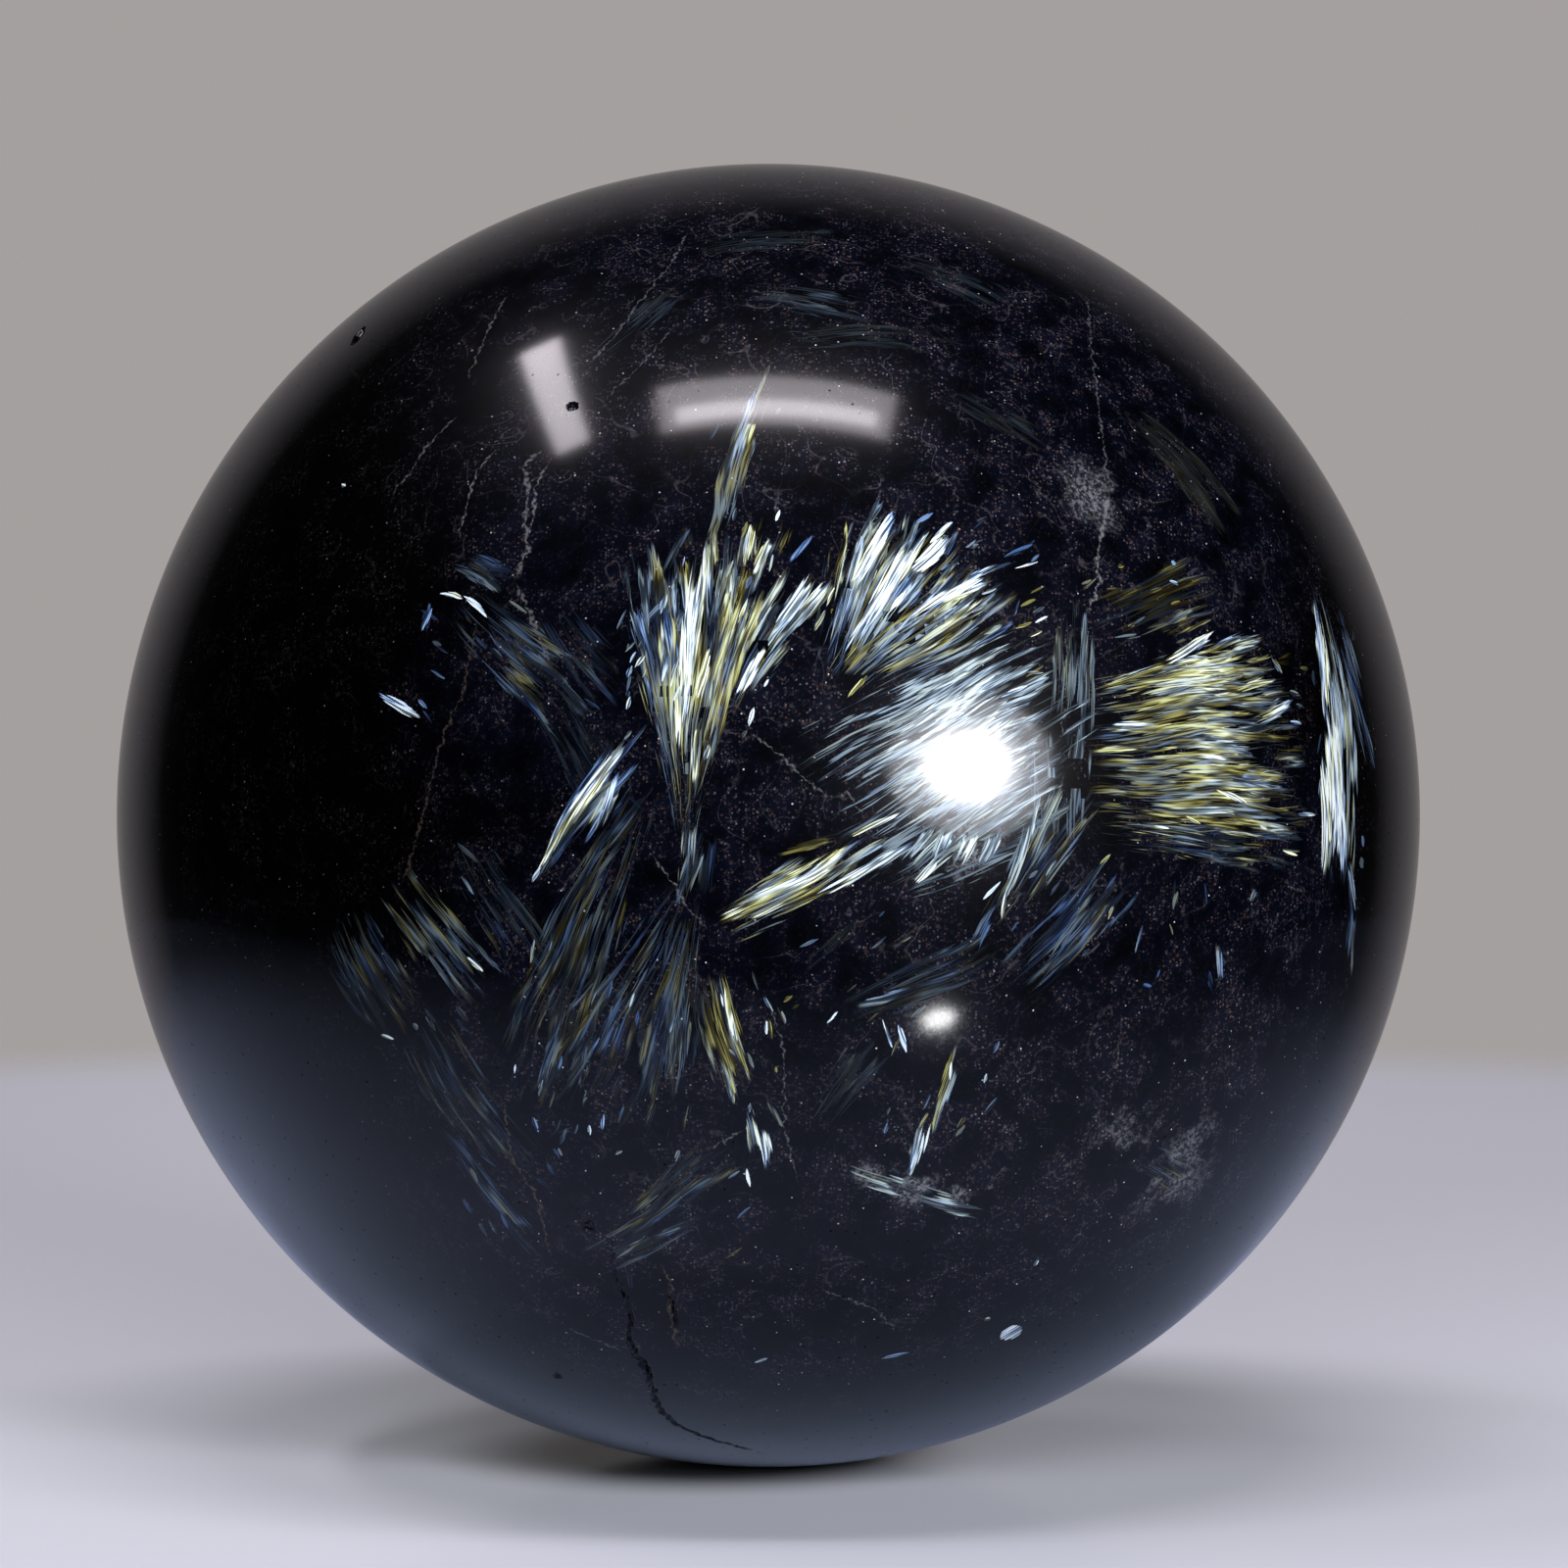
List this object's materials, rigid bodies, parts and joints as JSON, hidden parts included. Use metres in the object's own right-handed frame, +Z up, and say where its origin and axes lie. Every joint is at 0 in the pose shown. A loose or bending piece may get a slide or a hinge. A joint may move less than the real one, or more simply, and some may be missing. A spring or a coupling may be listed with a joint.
{
  "type": "polished arfvedsonite sphere",
  "caption": "Polished black stone ball with blue and gold fibrous flashes, healed cracks and a small ground flat to stand on.",
  "frame": {"origin": "middle of the small flat that the ball stands on", "axes": "+Z up through the middle of the ball; -Y is the front, the side with the large blue flashes; +X is to the right as seen from the front"},
  "size_m": [0.06, 0.06, 0.0598],
  "materials": {
    "stone": "polished, near black with blue, white and gold fibrous flashes"
  },
  "bodies": {
    "root": {"stone_ball": "stone"}
  },
  "joints": []
}
